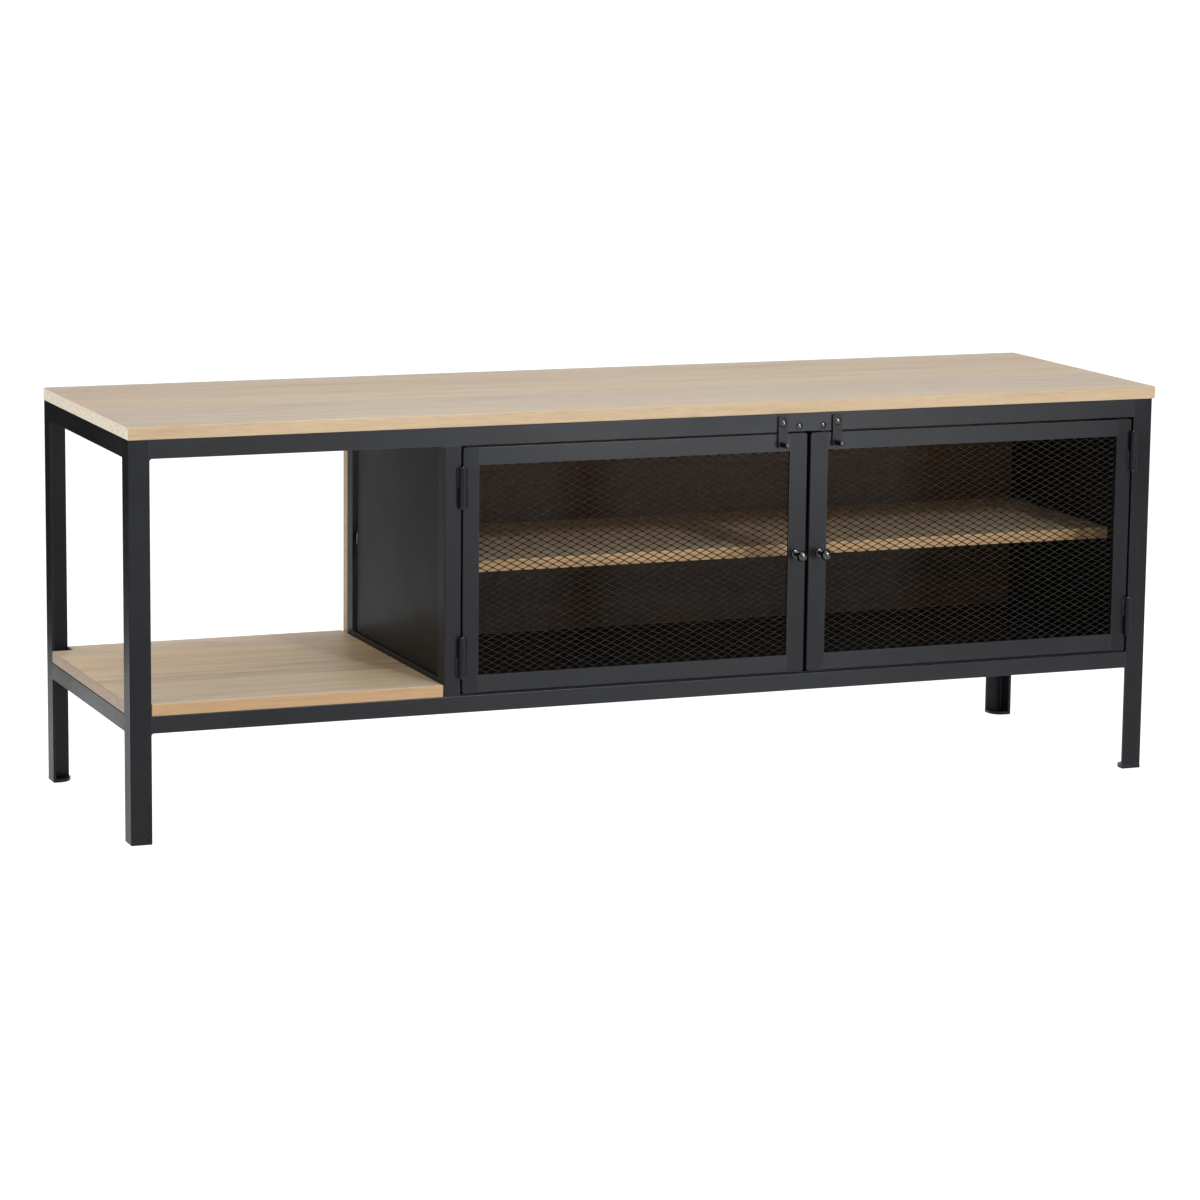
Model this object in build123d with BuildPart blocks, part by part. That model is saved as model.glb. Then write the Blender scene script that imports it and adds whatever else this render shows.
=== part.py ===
from build123d import *
import os
from math import asin, cos, sin

# TV stand with doors: a welded steel angle frame under a solid wood top, an open
# bay on the left and a cabinet on the right behind two expanded-metal doors.
# Millimetres, +Z up. X runs along the width and the front faces -Y. The origin is
# on the floor under the middle of the whole stand, knobs included.

# ---------------------------------------------------------------- dimensions
FRAME_W = 1300.0
FRAME_D = 376.0
FRAME_H = 465.0

TOP_T = 15.0
TOP_OVERHANG_LEFT = 0.5
TOP_OVERHANG_RIGHT = 3.0
TOP_OVERHANG_FRONT = 2.0
TOP_OVERHANG_REAR = 0.5
BOARD_EDGE_R = 1.0

STEEL_T = 3.0
LEG_FLANGE = 25.0
RAIL_FLANGE = 20.0
TOP_RAIL_H = 22.0
ROOT_R = 1.5
HEEL_R = 1.0
SHEET_T = 1.5
SEAT = 0.3

FOOT_SIZE = 25.0
FOOT_T = 4.0
FOOT_INNER_R = 17.0
FOOT_EDGE = 0.8

BOTTOM_RAIL_TOP = 149.0
SHELF_T = 14.0
SHELF_GAP = 0.5

DIVIDER_AT = 376.0
CABLE_SLOT = 10.0

BACK_T = 16.0
PANEL_TOP = 460.0

INNER_SHELF_Z = 277.0
INNER_SHELF_SETBACK = 93.0
BRACKET_SETBACK = 98.0
BRACKET_LEN = 230.0

DOOR_GAP = 2.5
DOOR_HINGE_STILE = 20.0
DOOR_MEETING_STILE = 23.0
DOOR_RAIL = 21.0
DOOR_DEPTH = 20.0
DOOR_CORNER_R = 4.0
MEETING_AT = 836.75
MEETING_GAP = 4.0

MESH_T = 1.5
MESH_LAP = 5.0
CELL_W = 30.0
CELL_H = 15.0
HOLE_HALF_W = 12.6
HOLE_HALF_H = 5.6
HOLE_REACH = -8.0

BARREL_R = 4.5
BARREL_BORE_R = 2.55
BARREL_LEN = 47.0
BARREL_GAP = 0.6
HINGE_PIN_R = 2.5
HINGE_PIN_END = 1.4
HINGE_PIN_CHAMFER = 0.8
HINGE_PIN_HEAD_R = 3.6
HINGE_PIN_PLAY = 0.3
BEAD_REACH = 6.2
BEAD_SIDE = 4.4
BEAD_RISE = 3.6
LOWER_HINGE_Z = 171.0
LEFT_UPPER_HINGE_Z = 371.0
RIGHT_UPPER_HINGE_Z = 378.0

KNOB_OFFSETS = {"left": -15.0, "right": 16.5}
KNOB_Z = 295.0
KNOB_BASE_R = 5.5
KNOB_BASE_T = 2.5
KNOB_STEM_R = 3.0
KNOB_BALL_R = 6.5
KNOB_BALL_AT = 19.0
KNOB_TAP_R = 2.0
KNOB_TAP_DEPTH = 9.0
KNOB_SCREW_R = 1.9
KNOB_SCREW_LEN = 11.0
KNOB_SCREW_HEAD_R = 3.0
KNOB_SCREW_HEAD_H = 2.0

LATCH_OFFSET = 35.5
LATCH_PIVOT_Z = 453.5
LATCH_PIN_DROP = 25.5
LATCH_LEN = 30.0
LATCH_RISE = 8.0
LATCH_W = 12.0
LATCH_T = 3.0
LATCH_PLAY = 0.2
LATCH_END_R = 1.5
LATCH_PIN_R = 3.2
LATCH_PIN_LEN = 16.0

RIVET_R = 2.0
RIVET_HOLE_R = 2.1
RIVET_HEAD_R = 4.5
RIVET_HEAD_H = 3.0
RIVET_TAIL_R = 3.2
RIVET_TAIL_T = 1.4

STOP_W = 50.0
STOP_T = 2.0
STOP_RIVET_OFFSETS = (-13.5, 17.5)
STOP_RIVET_Z = 449.0
STOP_LIFT = 0.4
STOP_PLATE_TOP = 459.0
STOP_TAB_BOTTOM = 427.0
STOP_PLAY = 0.5

SCREW_R = 2.0
SCREW_HOLE_R = 2.4
SCREW_PILOT_R = 2.05
SCREW_HEAD_R = 4.0
SCREW_HEAD_H = 1.8
SCREW_LEN = 13.0
PILOT_DEPTH = 10.5
FLANGE_MID = 12.0
TOP_SCREW_X = (-560.0, -200.0, 60.0, 320.0, 560.0)
SHELF_SCREW_X = (-530.0, -370.0)
SHELF_SCREW_Y = 70.0
BACK_SCREW_X = (-200.0, 60.0, 320.0, 560.0)
BACK_SCREW_Z = 452.0
BRACKET_SCREWS = (30.0, 200.0)

# ------------------------------------------------------------ derived places
MIDDLE_X = (TOP_OVERHANG_LEFT - TOP_OVERHANG_RIGHT) / 2
MIDDLE_Y = (KNOB_BALL_AT + KNOB_BALL_R - TOP_OVERHANG_REAR) / 2
LEFT = MIDDLE_X - FRAME_W / 2
RIGHT = MIDDLE_X + FRAME_W / 2
DIVIDER_X = LEFT + DIVIDER_AT
MEETING_X = LEFT + MEETING_AT
FRONT = MIDDLE_Y - FRAME_D / 2
REAR = MIDDLE_Y + FRAME_D / 2
TOP_RAIL_Z = FRAME_H - TOP_RAIL_H
FLANGE_Z = FRAME_H - STEEL_T
RAIL_START = LEFT + LEG_FLANGE
RAIL_LEN = FRAME_W - 2 * LEG_FLANGE
SIDE_LEN = FRAME_D - 2 * LEG_FLANGE
POST_INNER_X = DIVIDER_X + RAIL_FLANGE
PANEL_X = DIVIDER_X + STEEL_T
SIDE_PANEL_X = RIGHT - STEEL_T - SHEET_T
SIDE_END = REAR - LEG_FLANGE
CROSS_FRONT = FRONT + RAIL_FLANGE
REAR_POST_Y = REAR - RAIL_FLANGE
CROSS_REAR = REAR_POST_Y - RAIL_FLANGE

DOOR_Z0 = BOTTOM_RAIL_TOP + DOOR_GAP
DOOR_Z1 = TOP_RAIL_Z - DOOR_GAP
LEFT_DOOR = (POST_INNER_X + DOOR_GAP, MEETING_X - MEETING_GAP / 2)
RIGHT_DOOR = (RIGHT - LEG_FLANGE - DOOR_GAP, MEETING_X + MEETING_GAP / 2)
AXIS_Y = FRONT - BARREL_R
FACING_FRONT = (90, 0, 0)

os.makedirs("parts", exist_ok=True)


def save(part, name):
    """Label one finished piece and write it as its own STEP file."""
    part.label = name
    export_step(part, f"parts/{name}.step")


def across(x):
    """Plane facing +X at x; its own axes are Y and Z."""
    return Plane.YZ.offset(x)


def facing(y):
    """Plane facing -Y at y; its own axes are X and Z."""
    return Plane.XZ.offset(-y)


# ------------------------------------------------------------- basic pieces
def angle_bar(plane, heel, flange_u, flange_v, length):
    """Rolled steel angle. The heel is the section's outer corner, and the
    flanges are signed widths along the plane's own two axes."""
    u, v = heel
    tu = STEEL_T if flange_u > 0 else -STEEL_T
    tv = STEEL_T if flange_v > 0 else -STEEL_T
    with BuildPart() as bar:
        with BuildSketch(plane) as section:
            with BuildLine():
                Polyline(
                    (u, v),
                    (u + flange_u, v),
                    (u + flange_u, v + tv),
                    (u + tu, v + tv),
                    (u + tu, v + flange_v),
                    (u, v + flange_v),
                    close=True,
                )
            make_face()
            corners = section.vertices()
            fillet(corners.sort_by_distance((u + tu, v + tv))[0], radius=ROOT_R)
            corners = section.vertices()
            fillet(corners.sort_by_distance((u, v))[0], radius=HEEL_R)
        extrude(amount=length)
    return bar.part


def box_between(x, y, z):
    """Plain sheet or strip between two corners."""
    with BuildPart() as sheet:
        with BuildSketch(Plane.XY.offset(z[0])):
            with Locations((x[0], y[0])):
                Rectangle(x[1] - x[0], y[1] - y[0], align=(Align.MIN, Align.MIN))
        extrude(amount=z[1] - z[0])
    return sheet.part


def board(outline, z, thickness, pilots):
    """Wood board with eased edges and pilot holes in its underside."""
    with BuildPart() as wood:
        with BuildSketch(Plane.XY.offset(z)):
            with BuildLine():
                Polyline(*outline, close=True)
            make_face()
        extrude(amount=thickness)
        fillet(wood.edges(), radius=BOARD_EDGE_R)
        with BuildSketch(Plane.XY.offset(z)):
            with Locations(*pilots):
                Circle(SCREW_PILOT_R)
        extrude(amount=PILOT_DEPTH, mode=Mode.SUBTRACT)
    return wood.part


def drilled(bar, plane, points, radius, depth):
    """The bar with round holes cut from the plane along its normal."""
    with BuildPart() as piece:
        add(bar)
        with BuildSketch(plane):
            with Locations(*points):
                Circle(radius)
        extrude(amount=depth, mode=Mode.SUBTRACT)
    return piece.part


def copies(piece, places, turn=(0, 0, 0)):
    """Several identical small pieces, kept together as one group."""
    with BuildPart() as group:
        with Locations(*[Location(place, turn) for place in places]):
            add(piece)
    return group.part


# ---------------------------------------------------------------- fasteners
def dome_arc(radius, height, base=0.0):
    """Spherical cap outline from the rim to the axis."""
    sphere_r = (radius**2 + height**2) / (2 * height)
    half = asin(min(radius / sphere_r, 1.0)) / 2
    centre = base + height - sphere_r
    mid = (sphere_r * sin(half), centre + sphere_r * cos(half))
    return ThreePointArc((radius, base), mid, (0, base + height))


def rivet(grip):
    """Dome-head rivet: head above the origin, shank and flat tail below."""
    with BuildPart() as piece:
        with BuildSketch(Plane.XZ):
            with BuildLine():
                dome_arc(RIVET_HEAD_R, RIVET_HEAD_H)
                Polyline(
                    (0, RIVET_HEAD_H),
                    (0, -grip - RIVET_TAIL_T),
                    (RIVET_TAIL_R, -grip - RIVET_TAIL_T),
                    (RIVET_TAIL_R, -grip),
                    (RIVET_R, -grip),
                    (RIVET_R, 0),
                    (RIVET_HEAD_R, 0),
                )
            make_face()
        revolve(axis=Axis.Z)
    return piece.part


def screw(shank_r, length, head_r, head_h):
    """Pan-head screw: shank up from the origin, head below it."""
    with BuildPart() as piece:
        with BuildSketch(Plane.XY):
            Circle(shank_r)
        extrude(amount=length)
        with BuildSketch(Plane.XY):
            Circle(head_r)
        extrude(amount=-head_h)
        rim = piece.edges().filter_by(GeomType.CIRCLE).sort_by(Axis.Z)[0]
        fillet(rim, radius=head_h * 0.6)
    return piece.part


# --------------------------------------------------------------------- legs
def leg(x, y, toward_x, toward_y):
    """Corner upright, flanges turned in along both faces of the frame."""
    plane = Plane.XY.offset(FOOT_T)
    return angle_bar(plane, (x, y), toward_x * LEG_FLANGE, toward_y * LEG_FLANGE, FRAME_H - FOOT_T)


def foot_plate(x, y, toward_x, toward_y):
    """Flat plate welded under a leg, rounded at its inner corner."""
    far = (x + toward_x * FOOT_SIZE, y + toward_y * FOOT_SIZE)
    with BuildPart() as plate:
        with BuildSketch(Plane.XY) as shape:
            with BuildLine():
                Polyline((x, y), (far[0], y), far, (x, far[1]), close=True)
            make_face()
            fillet(shape.vertices().sort_by_distance(far)[0], radius=FOOT_INNER_R)
        extrude(amount=FOOT_T)
        chamfer(plate.faces().sort_by(Axis.Z)[0].edges(), length=FOOT_EDGE)
    return plate.part


for side, x, toward_x in (("left", LEFT, 1), ("right", RIGHT, -1)):
    for end, y, toward_y in (("front", FRONT, 1), ("rear", REAR, -1)):
        save(leg(x, y, toward_x, toward_y), f"{end}_{side}_leg")
        save(foot_plate(x, y, toward_x, toward_y), f"{end}_{side}_foot_plate")

# -------------------------------------------------------------------- rails
latch_x = (MEETING_X - LATCH_OFFSET, MEETING_X + LATCH_OFFSET)
stop_x = [MEETING_X + offset for offset in STOP_RIVET_OFFSETS]
front_screw_y = FRONT + FLANGE_MID
rear_screw_y = REAR - FLANGE_MID
back_foot_y = REAR_POST_Y + BACK_T / 2

front_flange_holes = [(x, front_screw_y) for x in TOP_SCREW_X]
top_front = angle_bar(across(RAIL_START), (FRONT, FRAME_H), RAIL_FLANGE, -TOP_RAIL_H, RAIL_LEN)
top_front = drilled(top_front, Plane.XY.offset(FLANGE_Z), front_flange_holes, SCREW_HOLE_R, STEEL_T)
rivet_holes = [(x, LATCH_PIVOT_Z) for x in latch_x] + [(x, STOP_RIVET_Z) for x in stop_x]
top_front = drilled(top_front, facing(FRONT + STEEL_T), rivet_holes, RIVET_HOLE_R, STEEL_T)
save(top_front, "top_front_rail")

rear_flange_holes = [(x, rear_screw_y) for x in TOP_SCREW_X]
back_screw_holes = [(x, BACK_SCREW_Z) for x in BACK_SCREW_X]
top_rear = angle_bar(across(RAIL_START), (REAR, FRAME_H), -RAIL_FLANGE, -TOP_RAIL_H, RAIL_LEN)
top_rear = drilled(top_rear, Plane.XY.offset(FLANGE_Z), rear_flange_holes, SCREW_HOLE_R, STEEL_T)
top_rear = drilled(top_rear, facing(REAR), back_screw_holes, SCREW_HOLE_R, STEEL_T)
save(top_rear, "top_rear_rail")

for side, x, toward in (("left", LEFT, 1), ("right", RIGHT, -1)):
    rail = angle_bar(facing(SIDE_END), (x, FRAME_H), toward * RAIL_FLANGE, -TOP_RAIL_H, SIDE_LEN)
    hole = [(x + toward * FLANGE_MID, MIDDLE_Y)]
    save(drilled(rail, Plane.XY.offset(FLANGE_Z), hole, SCREW_HOLE_R, STEEL_T), f"top_{side}_rail")

bottom_flange = Plane.XY.offset(BOTTOM_RAIL_TOP - STEEL_T)
shelf_front_holes = [(x, front_screw_y) for x in SHELF_SCREW_X]
shelf_rear_holes = [(x, rear_screw_y) for x in SHELF_SCREW_X]
back_foot_holes = [(x, back_foot_y) for x in BACK_SCREW_X]
bottom_front = angle_bar(
    across(RAIL_START), (FRONT, BOTTOM_RAIL_TOP), RAIL_FLANGE, -RAIL_FLANGE, RAIL_LEN
)
save(drilled(bottom_front, bottom_flange, shelf_front_holes, SCREW_HOLE_R, STEEL_T), "bottom_front_rail")
bottom_rear = angle_bar(
    across(RAIL_START), (REAR, BOTTOM_RAIL_TOP), -RAIL_FLANGE, -RAIL_FLANGE, RAIL_LEN
)
save(
    drilled(bottom_rear, bottom_flange, shelf_rear_holes + back_foot_holes, SCREW_HOLE_R, STEEL_T),
    "bottom_rear_rail",
)

shelf_left_holes = [(LEFT + FLANGE_MID, MIDDLE_Y + y) for y in (-SHELF_SCREW_Y, SHELF_SCREW_Y)]
bottom_left = angle_bar(
    facing(SIDE_END), (LEFT, BOTTOM_RAIL_TOP), RAIL_FLANGE, -RAIL_FLANGE, SIDE_LEN
)
save(drilled(bottom_left, bottom_flange, shelf_left_holes, SCREW_HOLE_R, STEEL_T), "bottom_left_rail")
bottom_right = angle_bar(
    facing(SIDE_END), (RIGHT, BOTTOM_RAIL_TOP), -RAIL_FLANGE, -RAIL_FLANGE, SIDE_LEN
)
save(bottom_right, "bottom_right_rail")

# ------------------------------------------------------------------ divider
front_post = angle_bar(
    Plane.XY.offset(BOTTOM_RAIL_TOP),
    (DIVIDER_X, FRONT),
    RAIL_FLANGE,
    RAIL_FLANGE,
    TOP_RAIL_Z - BOTTOM_RAIL_TOP,
)
save(front_post, "divider_front_post")

rear_post_z = BOTTOM_RAIL_TOP - STEEL_T
rear_post = angle_bar(
    Plane.XY.offset(rear_post_z),
    (DIVIDER_X, REAR_POST_Y),
    RAIL_FLANGE,
    -RAIL_FLANGE,
    FRAME_H - rear_post_z,
)
save(rear_post, "divider_rear_post")

cross_len = CROSS_REAR - CROSS_FRONT
cross_bottom = angle_bar(
    facing(CROSS_REAR), (DIVIDER_X, BOTTOM_RAIL_TOP), RAIL_FLANGE, RAIL_FLANGE, cross_len
)
save(cross_bottom, "divider_bottom_rail")
cross_top = angle_bar(facing(CROSS_REAR), (DIVIDER_X, FRAME_H), RAIL_FLANGE, -RAIL_FLANGE, cross_len)
save(cross_top, "divider_top_rail")

root_clear = STEEL_T + ROOT_R + SEAT
divider_panel = box_between(
    (PANEL_X, PANEL_X + SHEET_T),
    (FRONT + root_clear, CROSS_REAR - CABLE_SLOT),
    (BOTTOM_RAIL_TOP + root_clear, PANEL_TOP),
)
save(divider_panel, "divider_panel")

# ------------------------------------------------------------ cabinet sheets
side_panel = box_between(
    (SIDE_PANEL_X, SIDE_PANEL_X + SHEET_T),
    (FRONT + root_clear, REAR_POST_Y),
    (BOTTOM_RAIL_TOP, PANEL_TOP),
)
save(side_panel, "right_side_panel")

cabinet_floor = box_between(
    (POST_INNER_X + SEAT, SIDE_PANEL_X - SEAT),
    (FRONT + STEEL_T + SEAT, REAR_POST_Y),
    (BOTTOM_RAIL_TOP, BOTTOM_RAIL_TOP + SHEET_T),
)
save(cabinet_floor, "cabinet_floor")

# ------------------------------------------------------------------- boards
top_x0 = LEFT - TOP_OVERHANG_LEFT
top_x1 = RIGHT + TOP_OVERHANG_RIGHT
top_y0 = FRONT - TOP_OVERHANG_FRONT
top_y1 = REAR + TOP_OVERHANG_REAR
side_flange_holes = [(LEFT + FLANGE_MID, MIDDLE_Y), (RIGHT - FLANGE_MID, MIDDLE_Y)]
top_points = front_flange_holes + rear_flange_holes + side_flange_holes
top_outline = [(top_x0, top_y0), (top_x1, top_y0), (top_x1, top_y1), (top_x0, top_y1)]
save(board(top_outline, FRAME_H, TOP_T, top_points), "wood_top")

notch = LEG_FLANGE + SHELF_GAP
shelf_right = DIVIDER_X - SHELF_GAP
shelf_points = shelf_front_holes + shelf_rear_holes + shelf_left_holes
open_outline = [
    (LEFT + notch, FRONT),
    (shelf_right, FRONT),
    (shelf_right, REAR),
    (LEFT + notch, REAR),
    (LEFT + notch, REAR - notch),
    (LEFT, REAR - notch),
    (LEFT, FRONT + notch),
    (LEFT + notch, FRONT + notch),
]
save(board(open_outline, BOTTOM_RAIL_TOP, SHELF_T, shelf_points), "open_bay_shelf")

inner_x0 = PANEL_X + SHEET_T + SEAT
inner_x1 = SIDE_PANEL_X - SEAT
inner_shelf_y = FRONT + INNER_SHELF_SETBACK
bracket_y = FRONT + BRACKET_SETBACK
inner_points = [
    (x, bracket_y + along)
    for x in (PANEL_X + SHEET_T + FLANGE_MID, SIDE_PANEL_X - FLANGE_MID)
    for along in BRACKET_SCREWS
]
inner_outline = [
    (inner_x0, inner_shelf_y),
    (inner_x1, inner_shelf_y),
    (inner_x1, REAR_POST_Y),
    (POST_INNER_X + SEAT, REAR_POST_Y),
    (POST_INNER_X + SEAT, CROSS_REAR - SEAT),
    (inner_x0, CROSS_REAR - SEAT),
]
save(board(inner_outline, INNER_SHELF_Z, SHELF_T, inner_points), "cabinet_shelf")

with BuildPart() as back_panel:
    with BuildSketch(Plane.XY.offset(BOTTOM_RAIL_TOP)):
        with Locations((DIVIDER_X, REAR_POST_Y)):
            Rectangle(SIDE_PANEL_X - SEAT - DIVIDER_X, BACK_T, align=(Align.MIN, Align.MIN))
    extrude(amount=PANEL_TOP - BOTTOM_RAIL_TOP)
    fillet(back_panel.edges(), radius=BOARD_EDGE_R)
    with BuildSketch(Plane.XY.offset(BOTTOM_RAIL_TOP)):
        with Locations(*back_foot_holes):
            Circle(SCREW_PILOT_R)
    extrude(amount=PILOT_DEPTH, mode=Mode.SUBTRACT)
    with BuildSketch(facing(REAR_POST_Y + BACK_T)):
        with Locations(*back_screw_holes):
            Circle(SCREW_PILOT_R)
    extrude(amount=PILOT_DEPTH, mode=Mode.SUBTRACT)
save(back_panel.part, "back_panel")

# ----------------------------------------------------------- shelf brackets
for side, heel_x, toward in (
    ("left", PANEL_X + SHEET_T, 1),
    ("right", SIDE_PANEL_X, -1),
):
    bracket = angle_bar(
        facing(bracket_y + BRACKET_LEN),
        (heel_x, INNER_SHELF_Z),
        toward * RAIL_FLANGE,
        -RAIL_FLANGE,
        BRACKET_LEN,
    )
    holes = [(heel_x + toward * FLANGE_MID, bracket_y + along) for along in BRACKET_SCREWS]
    flange = Plane.XY.offset(INNER_SHELF_Z - STEEL_T)
    save(drilled(bracket, flange, holes, SCREW_HOLE_R, STEEL_T), f"shelf_bracket_{side}")

# ---------------------------------------------------------- door stop plate
stop_back = FRONT + STEEL_T
tab_front = FRONT + DOOR_DEPTH + STOP_PLAY
arm_z = TOP_RAIL_Z + STOP_LIFT
with BuildPart() as door_stop:
    with BuildSketch(across(MEETING_X - STOP_W / 2)):
        with BuildLine():
            Polyline(
                (stop_back, STOP_PLATE_TOP),
                (stop_back, arm_z),
                (tab_front, arm_z),
                (tab_front, STOP_TAB_BOTTOM),
                (tab_front + STOP_T, STOP_TAB_BOTTOM),
                (tab_front + STOP_T, arm_z + STOP_T),
                (stop_back + STOP_T, arm_z + STOP_T),
                (stop_back + STOP_T, STOP_PLATE_TOP),
                close=True,
            )
        make_face()
    extrude(amount=STOP_W)
    with BuildSketch(facing(stop_back + STOP_T)):
        with Locations(*[(x, STOP_RIVET_Z) for x in stop_x]):
            Circle(RIVET_HOLE_R)
    extrude(amount=STOP_T, mode=Mode.SUBTRACT)
save(door_stop.part, "door_stop_bracket")

stop_places = [(x, FRONT, STOP_RIVET_Z) for x in stop_x]
save(copies(rivet(STEEL_T + STOP_T), stop_places, FACING_FRONT), "door_stop_rivets")

# ------------------------------------------------------------------- screws
flange_screw = screw(SCREW_R, SCREW_LEN, SCREW_HEAD_R, SCREW_HEAD_H)
top_places = [(x, y, FLANGE_Z) for x, y in top_points]
save(copies(flange_screw, top_places), "top_fixing_screws")
shelf_places = [(x, y, BOTTOM_RAIL_TOP - STEEL_T) for x, y in shelf_points]
save(copies(flange_screw, shelf_places), "open_bay_shelf_screws")
inner_places = [(x, y, INNER_SHELF_Z - STEEL_T) for x, y in inner_points]
save(copies(flange_screw, inner_places), "cabinet_shelf_screws")
with BuildPart() as back_screws:
    with Locations(*[(x, y, BOTTOM_RAIL_TOP - STEEL_T) for x, y in back_foot_holes]):
        add(flange_screw)
    with Locations(*[Location((x, REAR, z), FACING_FRONT) for x, z in back_screw_holes]):
        add(flange_screw)
save(back_screws.part, "back_panel_screws")


# ------------------------------------------------------------------- hinges
def barrel(x, toward, z, length, bore_r):
    """Hinge barrel with the weld bead that holds it to the face beside it."""
    with BuildPart() as piece:
        with BuildSketch(Plane.XY.offset(z)):
            with Locations((x, AXIS_Y)):
                Circle(BARREL_R)
                Polygon(
                    (0, 0),
                    (toward * DOOR_GAP / 2, BARREL_R),
                    (toward * BEAD_REACH, BARREL_R),
                    (toward * BEAD_SIDE, BARREL_R - BEAD_RISE),
                    align=None,
                )
                Circle(bore_r, mode=Mode.SUBTRACT)
        extrude(amount=length)
    return piece.part


def hinge_pin(x, z, head_on_top):
    """Pin through both barrels, its head past the end of the door's barrel."""
    length = BARREL_LEN + HINGE_PIN_PLAY + 2 * HINGE_PIN_END
    low = z - HINGE_PIN_END - (0 if head_on_top else HINGE_PIN_PLAY)
    head_z = low + length - HINGE_PIN_END if head_on_top else low
    with BuildPart() as pin:
        with BuildSketch(Plane.XY.offset(low)):
            with Locations((x, AXIS_Y)):
                Circle(HINGE_PIN_R)
        extrude(amount=length)
        with BuildSketch(Plane.XY.offset(head_z)):
            with Locations((x, AXIS_Y)):
                Circle(HINGE_PIN_HEAD_R)
        extrude(amount=HINGE_PIN_END)
        rims = pin.edges().filter_by(GeomType.CIRCLE).sort_by(Axis.Z)
        chamfer([rims[0], rims[-1]], length=HINGE_PIN_CHAMFER)
    return pin.part


# Upper hinges have the frame's barrel on top and lower ones have it below, so a
# closed or open door cannot be lifted off.
half_barrel = (BARREL_LEN - BARREL_GAP) / 2
second = BARREL_LEN - half_barrel
hinges = {
    "left": (LEFT_DOOR[0] - DOOR_GAP / 2, 1, LEFT_UPPER_HINGE_Z),
    "right": (RIGHT_DOOR[0] + DOOR_GAP / 2, -1, RIGHT_UPPER_HINGE_Z),
}
with BuildPart() as hinge_pins:
    for axis_x, toward, upper_z in hinges.values():
        add(hinge_pin(axis_x, LOWER_HINGE_Z, True))
        add(hinge_pin(axis_x, upper_z, False))
save(hinge_pins.part, "hinge_pins")

for side, (axis_x, toward, upper_z) in hinges.items():
    with BuildPart() as frame_barrels:
        for z in (LOWER_HINGE_Z, upper_z + second):
            add(barrel(axis_x, -toward, z, half_barrel, HINGE_PIN_R))
    save(frame_barrels.part, f"{side}_hinge_frame_barrels")
    with BuildPart() as door_barrels:
        for z in (LOWER_HINGE_Z + second, upper_z):
            add(barrel(axis_x, toward, z, half_barrel, BARREL_BORE_R))
    save(door_barrels.part, f"{side}_door_hinge_barrels")


# -------------------------------------------------------------------- doors
def stile(x, toward, width, holes=()):
    """Upright door bar with the door's outer corners rounded at its ends."""
    bar = angle_bar(
        Plane.XY.offset(DOOR_Z0), (x, FRONT), toward * width, DOOR_DEPTH, DOOR_Z1 - DOOR_Z0
    )
    with BuildPart() as piece:
        add(bar)
        with BuildSketch(facing(FRONT + DOOR_DEPTH)) as outline:
            with Locations((x + toward * width / 2, (DOOR_Z0 + DOOR_Z1) / 2)):
                Rectangle(width, DOOR_Z1 - DOOR_Z0)
            columns = outline.vertices().group_by(Axis.X)
            fillet(columns[0] if toward > 0 else columns[-1], radius=DOOR_CORNER_R)
        extrude(amount=DOOR_DEPTH, mode=Mode.INTERSECT)
        if holes:
            with BuildSketch(facing(FRONT + STEEL_T)):
                with Locations(*holes):
                    Circle(RIVET_HOLE_R)
            extrude(amount=STEEL_T, mode=Mode.SUBTRACT)
    return piece.part


def door_rail(stiles, opening, z, toward):
    """Level door bar: its face fits between the stiles' faces, and its deep
    flange runs on behind them to their side flanges."""
    bar = angle_bar(
        across(opening[0]), (FRONT, z), DOOR_DEPTH, toward * DOOR_RAIL, opening[1] - opening[0]
    )
    y = FRONT + STEEL_T + ROOT_R
    low = min(z, z + toward * STEEL_T)
    with BuildPart() as piece:
        add(bar)
        for x0, x1 in ((stiles[0], opening[0]), (opening[1], stiles[1])):
            with BuildSketch(Plane.XY.offset(low)):
                with Locations((x0, y)):
                    Rectangle(x1 - x0, FRONT + DOOR_DEPTH - y, align=(Align.MIN, Align.MIN))
            extrude(amount=STEEL_T)
    return piece.part


def mesh_panel(opening):
    """Flattened expanded metal: a sheet pierced by staggered diamonds, drawn
    at twice the real 15 x 7.5 mm cell and with the real share of open area."""
    mid_x = (opening[0] + opening[1]) / 2
    mid_z = (DOOR_Z0 + DOOR_Z1) / 2
    open_w = opening[1] - opening[0]
    open_h = DOOR_Z1 - DOOR_Z0 - 2 * DOOR_RAIL
    columns = int((open_w / 2 + HOLE_REACH) / (CELL_W / 2))
    rows = int((open_h / 2 + HOLE_REACH) / (CELL_H / 2))
    centres = [
        (mid_x + i * CELL_W / 2, mid_z + j * CELL_H / 2)
        for i in range(-columns, columns + 1)
        for j in range(-rows, rows + 1)
        if (i + j) % 2 == 0
    ]
    with BuildPart() as sheet:
        with BuildSketch(facing(FRONT + STEEL_T + MESH_T)):
            with Locations((mid_x, mid_z)):
                Rectangle(open_w + 2 * MESH_LAP, open_h + 2 * MESH_LAP)
            with Locations(*centres):
                Polygon(
                    (HOLE_HALF_W, 0),
                    (0, HOLE_HALF_H),
                    (-HOLE_HALF_W, 0),
                    (0, -HOLE_HALF_H),
                    mode=Mode.SUBTRACT,
                )
        extrude(amount=MESH_T)
    return sheet.part


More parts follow.
